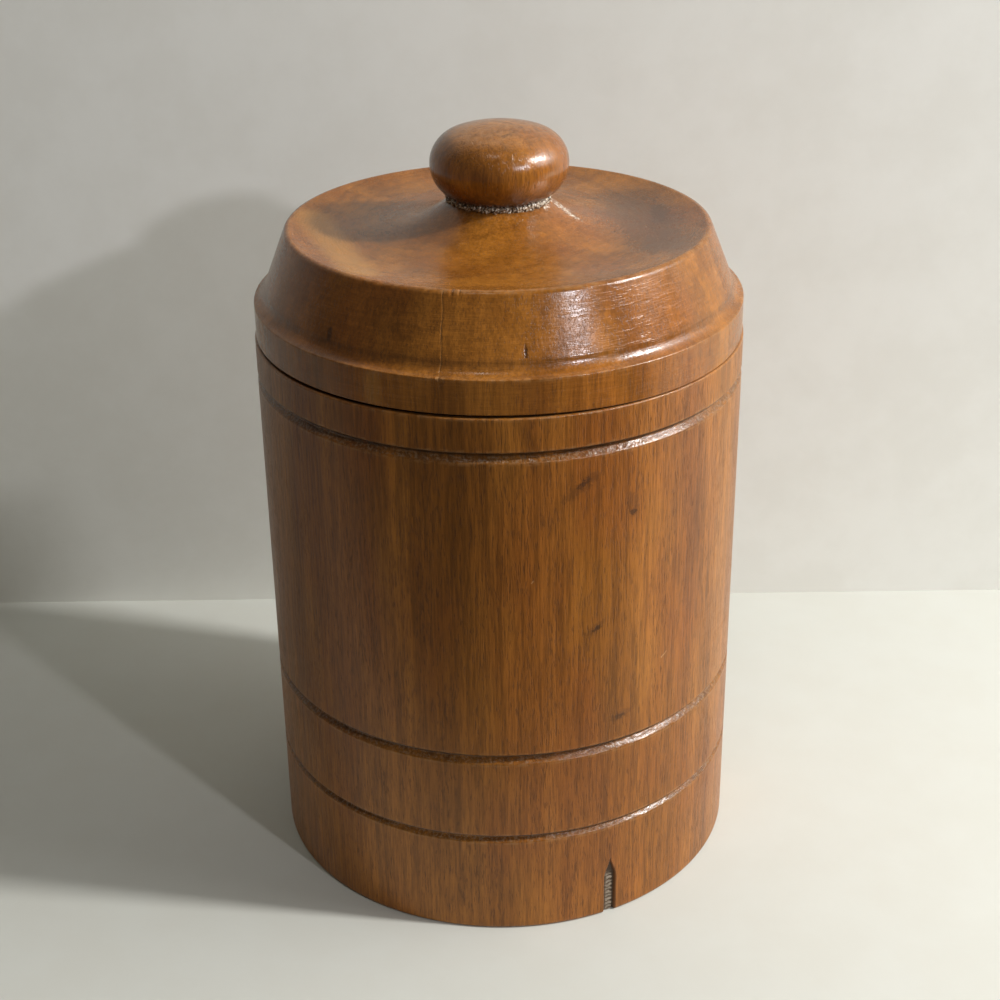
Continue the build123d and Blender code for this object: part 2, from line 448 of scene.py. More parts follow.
waistHeight = bossHeight + knob["waist"]
crownHeight = knobTop - waistHeight
sideCentre = knobRadius - knob["sideRound"]
crownArc = sideCentre**2 + crownHeight**2 - knob["sideRound"] ** 2
crownArc /= 2 * (crownHeight - knob["sideRound"])
crownCentre = knobTop - crownArc
overhang = knobRadius - knob["seat"]
underArc = (overhang**2 + knob["waist"] ** 2) / (2 * overhang)
meetAngle = math.atan2(waistHeight - crownCentre, sideCentre)
underStart = -math.asin(knob["waist"] / underArc)
knobRows = [(0, bossHeight), (knob["seat"] * 0.5, bossHeight)]
knobRows += arcPoints((knobRadius - underArc, waistHeight), underArc, underStart, 0, 26)
knobRows += arcPoints((sideCentre, waistHeight), knob["sideRound"], 0, meetAngle, 26)[1:]
knobRows += arcPoints((0, crownCentre), crownArc, meetAngle, math.pi / 2, 22)[1:-1]
knobRows += [(0, knobTop)]


def shapeKnob(radii, heights, turns, masks):
    # not quite round: handled and turned by eye, always inside the blank
    slow = wander(turns, heights * 0.06, 1.1, 11)
    above = ramp(bossHeight + 0.5, bossHeight + 4.0, heights)
    radii -= above * knob["unevenness"] * (slow + 0.6)
    # painted shade on the knob's underside
    masks["grimeAndShade"][:] = ramp(bossHeight + knob["underShadeTop"], bossHeight + 0.4, heights)
    masks["wear"][:] = ramp(0.55, 0.95, (heights - waistHeight) / crownHeight)


knobBody = turnPiece("knobBody", knobRows, columnAngles(knob["columns"]), shapeKnob, ("grimeAndShade", "wear"))
knobBody.data.transform(Matrix.Translation((knob["offCentre"] * mm, 0, 0)))
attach(knobBody, "lid")
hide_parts("knob")

# A crust of old finish and dirt fills the crease under the knob
crust = {
    "radius": 9.5,              # middle of the ring
    "width": 0.95,
    "height": 0.90,
    "roughness": 0.52,
    "crumbs": 26,               # how many lumps there are round the ring, roughly
    "sunk": 0.25,               # its middle lies this far under the boss's top
    "columns": 420,
    "rows": 16,
}


def crustRing():
    points, faces = [], []
    rows, columns = crust["rows"], crust["columns"]
    for j in range(columns):
        turn = 2 * math.pi * j / columns
        for k in range(rows):
            a = 2 * math.pi * k / rows
            count = crust["crumbs"]
            ring = Vector((math.sin(turn) * count, -math.cos(turn) * count, a * 1.3))
            lump = noise.noise(ring) * 0.6 + noise.noise(ring * 2.7) * 0.4
            slow = noise.noise(Vector((math.sin(turn) * 2, math.cos(turn) * 2, 4.0)))
            size = 1 + crust["roughness"] * lump * 1.6 + 0.25 * slow
            r = crust["radius"] + crust["width"] * math.cos(a) * size
            z = bossHeight - crust["sunk"] + crust["height"] * math.sin(a) * size
            x = r * math.sin(turn) + knob["offCentre"] * 0.5
            points.append((x * mm, -r * math.cos(turn) * mm, z * mm))
    for j in range(columns):
        n = (j + 1) % columns
        for k in range(rows):
            m = (k + 1) % rows
            faces.append((j * rows + k, n * rows + k, n * rows + m, j * rows + m))
    mesh = bpy.data.meshes.new("neckCrust")
    mesh.from_pydata(points, [], faces)
    mesh.polygons.foreach_set("use_smooth", [True] * len(mesh.polygons))
    mesh.update()
    piece = bpy.data.objects.new("neckCrust", mesh)
    bpy.context.collection.objects.link(piece)
    return piece


neckCrust = crustRing()
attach(neckCrust, "lid")
print("stage 4: knob turned")


# Node helpers: every number in the wood is in millimetres
def addNode(tree, kind, **settings):
    made = tree.nodes.new("ShaderNode" + kind)
    for label, value in settings.items():
        setattr(made, label, value)
    return made


def feed(tree, socket, value):
    if isinstance(value, bpy.types.NodeSocket):
        tree.links.new(value, socket)
    else:
        socket.default_value = value


def maths(tree, operation, *values, clamp=False):
    made = addNode(tree, "Math", operation=operation, use_clamp=clamp)
    for socket, value in zip(made.inputs, values):
        feed(tree, socket, value)
    return made.outputs[0]


def vectors(tree, operation, *values):
    made = addNode(tree, "VectorMath", operation=operation)
    for socket, value in zip(made.inputs, values):
        feed(tree, socket, value)
    return made.outputs["Value"] if operation in ("LENGTH", "DOT_PRODUCT", "DISTANCE") else made.outputs[0]


def scaled(tree, vector, factor):
    made = addNode(tree, "VectorMath", operation="SCALE")
    feed(tree, made.inputs[0], vector)
    feed(tree, made.inputs["Scale"], factor)
    return made.outputs[0]


def smoothStep(tree, value, low, high):
    made = addNode(tree, "MapRange", interpolation_type="SMOOTHSTEP")
    feed(tree, made.inputs["Value"], value)
    feed(tree, made.inputs["From Min"], low)
    feed(tree, made.inputs["From Max"], high)
    return made.outputs[0]


def noiseValue(tree, vector, scale=1.0, detail=2.0, roughness=0.5):
    made = addNode(tree, "TexNoise")
    feed(tree, made.inputs["Vector"], vector)
    feed(tree, made.inputs["Scale"], scale)
    feed(tree, made.inputs["Detail"], detail)
    feed(tree, made.inputs["Roughness"], roughness)
    return made.outputs[0]


def mixColours(tree, factor, first, second, blend="MIX"):
    made = addNode(tree, "Mix", data_type="RGBA", blend_type=blend)
    feed(tree, made.inputs["Factor"], factor)
    colourSockets = [s for s in made.inputs if s.type == "RGBA"]
    feed(tree, colourSockets[0], first)
    feed(tree, colourSockets[1], second)
    return [s for s in made.outputs if s.type == "RGBA"][0]


def newGroup(name, inputs, outputs):
    group = bpy.data.node_groups.new(name, "ShaderNodeTree")
    for label, kind, value in inputs:
        socket = group.interface.new_socket(label, in_out="INPUT", socket_type="NodeSocket" + kind)
        socket.default_value = value
    for label, kind in outputs:
        group.interface.new_socket(label, in_out="OUTPUT", socket_type="NodeSocket" + kind)
    start = group.nodes.new("NodeGroupInput")
    end = group.nodes.new("NodeGroupOutput")
    return group, start.outputs, end.inputs


def useGroup(tree, group, **values):
    made = tree.nodes.new("ShaderNodeGroup")
    made.node_tree = group
    for label, value in values.items():
        feed(tree, made.inputs[label], value)
    return made.outputs


# A colour as it looks on a screen, 0 to 255, turned to the renderer's own scale
def tone(red, green, blue):
    def channel(v):
        v /= 255
        return v / 12.92 if v <= 0.04045 else ((v + 0.055) / 1.055) ** 2.4
    return (channel(red), channel(green), channel(blue), 1.0)


# Wood: growth rings round a pith, slow bands of colour, fibres and pores along the trunk
def makeGrainGroup():
    group, given, out = newGroup(
        "woodGrain",
        [
            ("Vector", "Vector", (0, 0, 0)),
            ("Pith", "Vector", (0, 0, 0)),
            ("RingSpacing", "Float", 2.4),
            ("Wobble", "Float", 9.0),
            ("Swell", "Float", 0.0),
            ("Seed", "Float", 0.0),
        ],
        [("Rings", "Float"), ("Bands", "Float"), ("Fibres", "Float"), ("Pores", "Float")],
    )
    seed = addNode(group, "CombineXYZ")
    for k in range(3):
        group.links.new(given["Seed"], seed.inputs[k])
    place = vectors(group, "ADD", given["Vector"], scaled(group, seed.outputs[0], 37.0))
    slow = noiseValue(group, vectors(group, "MULTIPLY", place, (0.020, 0.020, 0.0055)), 1.0, 3.0, 0.5)
    warp = maths(group, "MULTIPLY", maths(group, "SUBTRACT", slow, 0.5), given["Wobble"])
    flat = vectors(group, "MULTIPLY", vectors(group, "SUBTRACT", given["Vector"], given["Pith"]), (1, 1, 0))
    distance = maths(group, "ADD", vectors(group, "LENGTH", flat), warp)
    distance = maths(group, "ADD", distance, given["Swell"])
    phase = maths(group, "DIVIDE", distance, given["RingSpacing"])
    within = maths(group, "FRACT", phase)
    late = smoothStep(group, within, 0.35, 0.92)
    fall = smoothStep(group, within, 1.0, 0.93)
    year = addNode(group, "TexWhiteNoise", noise_dimensions="1D")
    group.links.new(maths(group, "ADD", maths(group, "FLOOR", phase), given["Seed"]), year.inputs["W"])
    strength = maths(group, "MULTIPLY_ADD", year.outputs["Value"], 0.75, 0.25)
    rings = maths(group, "MULTIPLY", maths(group, "MULTIPLY", late, fall), strength)
    feed(group, out["Rings"], rings)
    wide = noiseValue(group, vectors(group, "MULTIPLY", place, (0.10, 0.10, 0.009)), 1.0, 4.0, 0.6)
    feed(group, out["Bands"], smoothStep(group, wide, 0.34, 0.66))
    streaks = noiseValue(group, vectors(group, "MULTIPLY", place, (0.62, 0.62, 0.018)), 1.0, 3.0, 0.6)
    fine = noiseValue(group, vectors(group, "MULTIPLY", place, (2.1, 2.1, 0.13)), 1.0, 3.0, 0.7)
    both = maths(group, "MULTIPLY_ADD", streaks, 0.38, maths(group, "MULTIPLY", fine, 0.62))
    feed(group, out["Fibres"], smoothStep(group, both, 0.36, 0.64))
    poreNoise = noiseValue(group, vectors(group, "MULTIPLY", place, (3.9, 3.9, 0.42)), 1.0, 2.0, 0.55)
    clusters = noiseValue(group, vectors(group, "MULTIPLY", place, (0.30, 0.30, 0.035)), 1.0, 2.0, 0.5)
    threshold = maths(group, "MULTIPLY_ADD", clusters, -0.26, 0.70)
    pores = smoothStep(group, maths(group, "SUBTRACT", poreNoise, threshold), -0.02, 0.10)
    feed(group, out["Pores"], pores)
    return group


# Marks of turning and sanding: fine scratches that run round the axis
def makeTurningGroup():
    group, given, out = newGroup(
        "turningMarks",
        [("Vector", "Vector", (0, 0, 0)), ("Fineness", "Float", 3.0), ("Amount", "Float", 0.5)],
        [("Scratches", "Float"), ("Ripple", "Float")],
    )
    parts = addNode(group, "SeparateXYZ")
    feed(group, parts.inputs[0], given["Vector"])
    flat = vectors(group, "MULTIPLY", given["Vector"], (1, 1, 0))
    radius = vectors(group, "LENGTH", flat)
    around = scaled(group, vectors(group, "NORMALIZE", flat), 8.0)
    along = maths(group, "MULTIPLY_ADD", radius, 0.83, parts.outputs[2])
    along = maths(group, "MULTIPLY", along, given["Fineness"])
    lift = addNode(group, "CombineXYZ")
    feed(group, lift.inputs[2], along)
    place = vectors(group, "ADD", around, lift.outputs[0])
    lines = noiseValue(group, place, 1.0, 2.0, 0.55)
    patches = noiseValue(group, given["Vector"], 0.09, 2.0, 0.5)
    fewest = maths(group, "SUBTRACT", 0.98, maths(group, "MULTIPLY", given["Amount"], 0.2))
    keep = maths(group, "MULTIPLY_ADD", patches, -0.5, fewest)
    over = maths(group, "SUBTRACT", lines, keep)
    feed(group, out["Scratches"], smoothStep(group, over, -0.06, 0.03))
    feed(group, out["Ripple"], lines)
    return group


# One mark on the surface between two places, such as knots, scratches, dents, cracks, crumbs, and patches
# of painted shade and sheen
def makeMarkGroup():
    group, given, out = newGroup(
        "surfaceMark",
        [
            ("Vector", "Vector", (0, 0, 0)),
            ("From", "Vector", (0, 0, 0)),
            ("To", "Vector", (0, 0, 1)),
            ("Width", "Float", 1.0),
            ("Ragged", "Float", 0.2),
        ],
        [("Mark", "Float"), ("Halo", "Float")],
    )
    torn = addNode(group, "TexNoise")
    feed(group, torn.inputs["Vector"], given["Vector"])
    feed(group, torn.inputs["Scale"], 1.6)
    jitter = vectors(group, "SUBTRACT", torn.outputs["Color"], (0.5, 0.5, 0.5))
    jitter = scaled(group, jitter, given["Ragged"])
    here = vectors(group, "ADD", given["Vector"], jitter)
    reach = vectors(group, "SUBTRACT", given["To"], given["From"])
    offset = vectors(group, "SUBTRACT", here, given["From"])
    share = maths(
        group, "DIVIDE",
        vectors(group, "DOT_PRODUCT", offset, reach),
        maths(group, "MAXIMUM", vectors(group, "DOT_PRODUCT", reach, reach), 0.0001),
        clamp=True,
    )
    nearest = vectors(group, "ADD", given["From"], scaled(group, reach, share))
    distance = vectors(group, "DISTANCE", here, nearest)
    closeness = maths(group, "DIVIDE", distance, given["Width"])
    feed(group, out["Mark"], smoothStep(group, closeness, 1.0, 0.25))
    feed(group, out["Halo"], smoothStep(group, closeness, 4.5, 0.4))
    return group


# Dark deposits and painted shade in low places, pale flecks and painted sheen, rubbed paler edges; all
# uneven
def makeAgeAndShadeGroup():
    group, given, out = newGroup(
        "ageShadeAndSheenOnWood",
        [
            ("Vector", "Vector", (0, 0, 0)),
            ("Grime", "Float", 0.0),
            ("Dust", "Float", 0.0),
            ("Wear", "Float", 0.0),
            ("Colour", "Color", (0, 0, 0, 1)),
            ("DirtTone", "Color", (0, 0, 0, 1)),
            ("DustTone", "Color", (0, 0, 0, 1)),
            ("RubbedTone", "Color", (0, 0, 0, 1)),
        ],
        [("Colour", "Color"), ("Speckle", "Float")],
    )
    patchy = noiseValue(group, given["Vector"], 0.8, 3.0, 0.6)
    grains = noiseValue(group, given["Vector"], 1.7, 2.0, 0.55)
    grimeAndShadeHere = maths(group, "MULTIPLY", given["Grime"], smoothStep(group, patchy, 0.22, 0.55))
    wearHere = maths(group, "MULTIPLY", given["Wear"], smoothStep(group, patchy, 0.42, 0.62))
    thick = maths(group, "MULTIPLY", given["Dust"], given["Dust"])
    dustAndSheenHere = maths(group, "MULTIPLY", thick, smoothStep(group, grains, 0.46, 0.66))
    wearShare = maths(group, "MULTIPLY", wearHere, 0.35)
    rubbed = mixColours(group, wearShare, given["Colour"], given["RubbedTone"])
    darkened = mixColours(group, maths(group, "MULTIPLY", grimeAndShadeHere, 0.8), rubbed, given["DirtTone"])
    dustAndSheenMixed = mixColours(group, maths(group, "MULTIPLY", dustAndSheenHere, 0.30), darkened, given["DustTone"])
    feed(group, out["Colour"], dustAndSheenMixed)
    either = maths(group, "MAXIMUM", given["Grime"], given["Dust"])
    feed(group, out["Speckle"], maths(group, "MULTIPLY", grains, either))
    return group


grainGroup = makeGrainGroup()
turningGroup = makeTurningGroup()
markGroup = makeMarkGroup()
ageAndShadeGroup = makeAgeAndShadeGroup()

woodTones = {
    "pale": tone(160, 102, 37),
    "mid": tone(130, 79, 24),
    "red": tone(130, 69, 26),
    "ring": tone(98, 57, 22),
    "pore": tone(64, 36, 14),
    # dark deposits and painted shade; pale dusting and painted sheen
    "dirtAndShade": tone(52, 38, 24),
    "dustAndSheen": tone(168, 146, 118),
    "rubbed": tone(176, 130, 82),
    "bare": tone(176, 128, 82),         # unfinished wood inside
    # knots and painted shade on the dish; golden, also a painted sheen on the dish; pale crumbs, partly a
    # painted glint
    "knotAndShade": tone(56, 34, 20),
    "golden": tone(190, 136, 66),
    "residueAndGlint": tone(226, 217, 200),
}


# A place on the outside of a turned piece, from its angle in degrees, radius and height
def surfacePlace(angle, radius, height):
    turn = math.radians(angle)
    return (radius * math.sin(turn), -radius * math.cos(turn), height)


def markPlaces(look):
    for mark in look["marks"]:
        angleA, radiusA, heightA, angleB, radiusB, heightB = mark[:6]
        yield surfacePlace(angleA, radiusA, heightA), surfacePlace(angleB, radiusB, heightB), *mark[6:]


# Darker where the value is low and lighter where it is high, by this much in all
def shaded(tree, colour, value, contrast):
    level = maths(tree, "MULTIPLY_ADD", value, contrast, 1.0 - contrast * 0.5)
    grey = addNode(tree, "CombineColor")
    for k in range(3):
        feed(tree, grey.inputs[k], level)
    return mixColours(tree, 1.0, colour, grey.outputs[0], "MULTIPLY")


def woodMaterial(name, look):
    material = bpy.data.materials.new(name)
    material.use_nodes = True
    tree = material.node_tree
    shader = tree.nodes["Principled BSDF"]
    coordinates = addNode(tree, "TexCoord")
    place = scaled(tree, coordinates.outputs["Object"], 1 / mm)

    # marks first: knots also bend the rings round them, and the pale crumbs, partly a painted glint, are
    # broken into clumps
    swell, dents, tonedMarks = 0.0, 0.0, []
    crumbs = smoothStep(tree, noiseValue(tree, place, 1.9, 3.0, 0.7), 0.46, 0.58)
    for start, end, width, ragged, depth, strength, markTone in markPlaces(look):
        mark = useGroup(tree, markGroup, Vector=place, From=start, To=end, Width=width, Ragged=ragged)
        cover = maths(tree, "MULTIPLY", mark["Mark"], strength)
        if markTone == "residueAndGlint":
            cover = maths(tree, "MULTIPLY", cover, crumbs)
        tonedMarks.append((cover, markTone))
        if markTone == "knotAndShade":
            swell = maths(tree, "ADD", swell, maths(tree, "MULTIPLY", mark["Halo"], width * 1.6))
        if depth:
            dents = maths(tree, "ADD", dents, maths(tree, "MULTIPLY", mark["Mark"], depth))

    grain = useGroup(
        tree, grainGroup, Vector=place, Pith=look["pith"], RingSpacing=look["ringSpacing"],
        Wobble=look["wobble"], Swell=swell, Seed=look["seed"],
    )
    colour = mixColours(tree, grain["Bands"], woodTones["mid"], woodTones["pale"])
    redPatch = noiseValue(tree, vectors(tree, "MULTIPLY", place, (0.05, 0.05, 0.018)), 1.0, 2.0, 0.5)
    redness = maths(tree, "MULTIPLY", smoothStep(tree, redPatch, 0.42, 0.66), look["redness"])
    colour = mixColours(tree, redness, colour, woodTones["red"])
    ringShare = maths(tree, "MULTIPLY", grain["Rings"], look["ringContrast"])
    colour = mixColours(tree, ringShare, colour, woodTones["ring"])
    colour = shaded(tree, colour, grain["Fibres"], look["fibreContrast"])
    poreShare = maths(tree, "MULTIPLY", grain["Pores"], look["poreContrast"])
    colour = mixColours(tree, poreShare, colour, woodTones["pore"])

    # masks: dark deposits with painted shade, pale flecks with painted sheen, worn edges and the bare
    # inside
    grimeAndShade = addNode(tree, "Attribute", attribute_name="grimeAndShade").outputs["Fac"]
    dustAndSheen = addNode(tree, "Attribute", attribute_name="dustAndSheen").outputs["Fac"]
    wear = addNode(tree, "Attribute", attribute_name="wear").outputs["Fac"]
    inside = addNode(tree, "Attribute", attribute_name="inside").outputs["Fac"]
    colour = mixColours(tree, maths(tree, "MULTIPLY", inside, 0.6), colour, woodTones["bare"])
    ageAndShade = useGroup(
        tree, ageAndShadeGroup, Vector=place, Grime=grimeAndShade, Dust=dustAndSheen, Wear=wear, Colour=colour,
        DirtTone=woodTones["dirtAndShade"], DustTone=woodTones["dustAndSheen"], RubbedTone=woodTones["rubbed"],
    )
    colour = ageAndShade["Colour"]
    for strength, markTone in tonedMarks:
        colour = mixColours(tree, strength, colour, woodTones[markTone])
    for label, shade, amount in look["attributes"]:
        value = addNode(tree, "Attribute", attribute_name=label).outputs["Fac"]
        colour = mixColours(tree, maths(tree, "MULTIPLY", value, amount), colour, shade)
    turning = useGroup(
        tree, turningGroup, Vector=place,
        Fineness=look["scratchFineness"], Amount=look["scratches"],
    )
    colour = shaded(tree, colour, turning["Ripple"], look["latheTone"])
    feed(tree, shader.inputs["Base Color"], colour)

    handled = noiseValue(tree, place, 0.12, 3.0, 0.55)
    smoothest = look["rough"] - look["roughSpread"] * 0.5
    rough = maths(tree, "MULTIPLY_ADD", handled, look["roughSpread"], smoothest)
    rough = maths(tree, "MULTIPLY_ADD", grain["Pores"], 0.10, rough)
    rough = maths(tree, "MULTIPLY_ADD", turning["Scratches"], 0.06, rough)
    rough = maths(tree, "MULTIPLY_ADD", inside, 0.25, rough)
    rough = maths(tree, "MULTIPLY_ADD", dustAndSheen, -0.20, rough)
    rough = maths(tree, "MAXIMUM", rough, 0.10)
    feed(tree, shader.inputs["Roughness"], rough)

    # heights in millimetres
    pebble = noiseValue(tree, place, look["pebbleScale"], 3.0, 0.6)
    height = maths(tree, "MULTIPLY", pebble, look["pebble"])
    height = maths(tree, "MULTIPLY_ADD", grain["Pores"], -look["poreDepth"], height)
    height = maths(tree, "MULTIPLY_ADD", grain["Fibres"], look["fibreDepth"], height)
    height = maths(tree, "MULTIPLY_ADD", turning["Scratches"], -look["scratchDepth"], height)
    height = maths(tree, "MULTIPLY_ADD", turning["Ripple"], look["ripple"], height)
    height = maths(tree, "MULTIPLY_ADD", ageAndShade["Speckle"], look["speckle"], height)
    height = maths(tree, "SUBTRACT", height, dents)
    bump = addNode(tree, "Bump")
    bump.inputs["Strength"].default_value = 1.0
    bump.inputs["Distance"].default_value = mm
    feed(tree, bump.inputs["Height"], height)
    feed(tree, shader.inputs["Normal"], bump.outputs[0])
    shader.inputs["Specular IOR Level"].default_value = look["specular"]
    return material


# Finish of each piece. A mark is: angle, radius, height at both ends, then
# half width, raggedness, depth, strength and the tone it takes
cupFinish = {
    "pith": (7.0, 5.0, 0.0),
    "ringSpacing": 2.6,
    "wobble": 11.0,
    "seed": 1.0,
    "redness": 0.4,
    "ringContrast": 0.22,
    "fibreContrast": 0.60,
    "poreContrast": 0.45,
    "rough": 0.34,
    "roughSpread": 0.12,
    "specular": 0.4,
    "latheTone": 0.10,
    "scratches": 0.25,
    "scratchFineness": 3.0,
    "scratchDepth": 0.006,
    "ripple": 0.004,
    "pebbleScale": 1.1,
    "pebble": 0.020,
    "poreDepth": 0.018,
    "fibreDepth": 0.02,
    "speckle": 0.06,
    "attributes": [("check", tone(66, 52, 38), 0.9), ("ribs", tone(158, 148, 130), 0.75)],
    "marks": [
        (14.0, 50.0, 99.6, 20.4, 50.0, 103.3, 1.7, 3.2, 0.0, 0.34, "knotAndShade"),
        (17.0, 50.0, 101.6, 18.9, 50.0, 102.7, 0.75, 1.9, 0.01, 0.60, "knotAndShade"),
        (29.6, 50.0, 97.0, 30.2, 50.0, 94.2, 1.9, 3.0, 0.0, 0.26, "knotAndShade"),
        (29.4, 50.0, 94.0, 30.6, 50.0, 94.2, 0.75, 1.5, 0.02, 0.72, "knotAndShade"),
        (28.6, 50.0, 96.6, 28.9, 50.0, 94.6, 0.25, 0.6, 0.01, 0.40, "knotAndShade"),
        (19.6, 50.0, 69.6, 22.6, 50.0, 71.4, 1.2, 2.4, 0.0, 0.34, "knotAndShade"),
        (20.6, 50.0, 70.2, 21.9, 50.0, 70.8, 0.60, 1.5, 0.02, 0.70, "knotAndShade"),
        (26.0, 50.0, 48.6, 29.4, 50.0, 49.3, 1.3, 2.2, 0.0, 0.34, "knotAndShade"),
        (26.9, 50.0, 48.8, 28.6, 50.0, 49.0, 0.65, 1.4, 0.01, 0.58, "knotAndShade"),
        (39.4, 50.0, 58.9, 41.0, 50.0, 59.9, 0.22, 0.5, 0.03, 0.80, "rubbed"),
        (6.4, 50.0, 82.4, 6.8, 50.0, 82.8, 0.2, 0.2, 0.03, 0.70, "rubbed"),
        (22.2, 50.0, 115.8, 22.4, 50.0, 103.5, 0.45, 0.8, 0.01, 0.35, "knotAndShade"),
        (25.8, 50.0, 14.0, 25.6, 50.0, 17.6, 0.5, 0.6, 0.0, 0.40, "knotAndShade"),
    ],
}
lidFinish = dict(
    cupFinish,
    pith=(4.0, 9.0, 0.0),
    seed=3.0,
    ringContrast=0.30,
    ringSpacing=2.6,
    wobble=14.0,
    rough=0.20,
    roughSpread=0.07,
    specular=0.5,
    poreDepth=0.007,
    fibreDepth=0.006,
    latheTone=0.55,
    scratches=0.85,
    scratchFineness=3.6,
    scratchDepth=0.013,
    ripple=0.030,
    pebbleScale=1.5,
    pebble=0.012,
    fibreContrast=0.45,
    poreContrast=0.36,
    attributes=[("crack", tone(176, 132, 84), 0.55)],
    marks=[
        (5.7, 46.4, 130.2, 5.9, 46.9, 127.2, 0.45, 0.35, 0.05, 0.85, "knotAndShade"),
        (-42.5, 46.9, 128.4, -42.2, 47.0, 126.8, 0.9, 0.6, 0.02, 0.70, "knotAndShade"),
        (-28.0, 49.7, 122.0, -28.0, 49.7, 118.6, 2.6, 1.6, 0.0, 0.35, "golden"),
        # pale crumbs down the sweep right of the knob, partly a painted glint streak
        (96.0, 11.0, 142.1, 90.0, 12.8, 140.8, 2.4, 4.5, -0.14, 0.90, "residueAndGlint"),
        (90.0, 12.6, 141.0, 83.0, 14.6, 139.8, 1.7, 3.6, -0.12, 0.85, "residueAndGlint"),
        (84.0, 14.4, 139.9, 80.0, 16.4, 139.0, 1.2, 2.6, -0.10, 0.80, "residueAndGlint"),
        (72.0, 10.6, 142.4, 60.0, 10.9, 142.2, 0.70, 1.6, -0.12, 0.85, "residueAndGlint"),
        # painted sheen: a lit, golden crescent on the left of the dish
        (-100.0, 38.0, 137.4, -42.0, 38.5, 137.5, 5.5, 3.0, 0.0, 0.60, "golden"),
        (-13.2, 49.6, 124.2, -12.9, 49.3, 123.6, 0.55, 0.4, 0.10, 0.70, "rubbed"),
        (89.0, 29.8, 136.6, 91.0, 29.8, 136.6, 0.22, 0.1, 0.03, 0.90, "rubbed"),
        (80.6, 40.6, 138.0, 81.6, 40.6, 138.0, 0.22, 0.1, 0.03, 0.90, "rubbed"),
        (96.0, 33.0, 136.7, 110.0, 35.5, 136.9, 2.4, 2.0, 0.0, 0.38, "knotAndShade"),
        # painted shade: a wide dark patch over the right of the dish
        (72.0, 33.0, 136.7, 122.0, 33.0, 136.9, 12.5, 5.0, 0.0, 0.60, "knotAndShade"),
    ],
)
knobFinish = dict(
    cupFinish,
    pith=(-9.0, -16.0, 0.0),
    seed=6.0,
    ringContrast=0.40,
    rough=0.17,
    roughSpread=0.06,
    specular=0.7,
    scratches=0.2,
    pebble=0.016,
    fibreContrast=0.45,
    poreContrast=0.36,
    attributes=[],
    marks=[
        (-33.0, 9.0, 156.7, -27.0, 9.9, 156.1, 0.18, 0.15, 0.03, 0.70, "rubbed"),
        (14.5, 12.0, 155.0, 14.0, 13.0, 153.4, 0.16, 0.25, 0.03, 0.55, "rubbed"),
        (14.0, 13.0, 153.4, 18.5, 13.7, 151.4, 0.16, 0.25, 0.03, 0.60, "rubbed"),
        (18.5, 13.7, 151.4, 22.0, 13.8, 151.0, 0.14, 0.25, 0.03, 0.50, "rubbed"),
        (10.0, 7.4, 157.2, 22.0, 6.6, 157.3, 0.6, 0.8, 0.02, 0.40, "knotAndShade"),
    ],
)

cupBody.data.materials.append(woodMaterial("oiledCup", cupFinish))
lidBody.data.materials.append(woodMaterial("oiledLid", lidFinish))
knobBody.data.materials.append(woodMaterial("polishedKnob", knobFinish))


def crustMaterial():
    material = bpy.data.materials.new("driedFinishAndGlints")
    material.use_nodes = True
    tree = material.node_tree
    shader = tree.nodes["Principled BSDF"]
    coordinates = addNode(tree, "TexCoord")
    place = scaled(tree, coordinates.outputs["Object"], 1 / mm)
    blobs = noiseValue(tree, place, 1.7, 3.0, 0.65)
    glintFlecks = noiseValue(tree, place, 2.6, 1.0, 0.5)
    colour = mixColours(tree, smoothStep(tree, blobs, 0.38, 0.62), tone(46, 32, 22), tone(134, 106, 78))
    # the white flecks are painted glints
    colour = mixColours(tree, smoothStep(tree, glintFlecks, 0.50, 0.60), colour, tone(214, 202, 182))
    feed(tree, shader.inputs["Base Color"], colour)
    feed(tree, shader.inputs["Roughness"], maths(tree, "MULTIPLY_ADD", blobs, 0.2, 0.10))
    bump = addNode(tree, "Bump")
    bump.inputs["Distance"].default_value = mm
    feed(tree, bump.inputs["Height"], maths(tree, "MULTIPLY", blobs, 0.22))
    feed(tree, shader.inputs["Normal"], bump.outputs[0])
    return material


neckCrust.data.materials.append(crustMaterial())
print("stage 5: finishes made")


# Floor and backdrop
stage = {
    "floorHalf": 1.4,
    "floorFront": -0.105,       # the table ends here, so the wall reflects a dim room
    "wallBehind": 0.092,        # from the turning axis to the wall
    "wallHeight": 0.9,
    "floorTone": tone(204, 206, 199),
    "wallTone": tone(230, 231, 226),
    "beyondTone": tone(214, 212, 202),
    "mottling": 0.12,
    "mottleTone": tone(190, 186, 172),
}


def stageMaterial(name, colour, seeThroughBack):
    material = bpy.data.materials.new(name)
    material.use_nodes = True
    tree = material.node_tree
    shader = tree.nodes["Principled BSDF"]
    coordinates = addNode(tree, "TexCoord")
    mottle = noiseValue(tree, coordinates.outputs["Object"], 60.0, 4.0, 0.6)
    cloud = maths(tree, "MULTIPLY", smoothStep(tree, mottle, 0.3, 0.7), stage["mottling"])
    shade = mixColours(tree, cloud, colour, stage["mottleTone"])
    feed(tree, shader.inputs["Base Color"], shade)
    shader.inputs["Roughness"].default_value = 0.8
    shader.inputs["Specular IOR Level"].default_value = 0.2
    if seeThroughBack:
        clear = addNode(tree, "BsdfTransparent")
        facing = addNode(tree, "NewGeometry")
        blend = addNode(tree, "MixShader")
        feed(tree, blend.inputs[0], facing.outputs["Backfacing"])
        feed(tree, blend.inputs[1], shader.outputs[0])
        feed(tree, blend.inputs[2], clear.outputs[0])
        feed(tree, tree.nodes["Material Output"].inputs["Surface"], blend.outputs[0])
    return material


def flatSheet(name, corners):
    mesh = bpy.data.meshes.new(name)
    mesh.from_pydata(corners, [], [(0, 1, 2, 3)])
    sheet = bpy.data.objects.new(name, mesh)
    bpy.context.collection.objects.link(sheet)
    return sheet


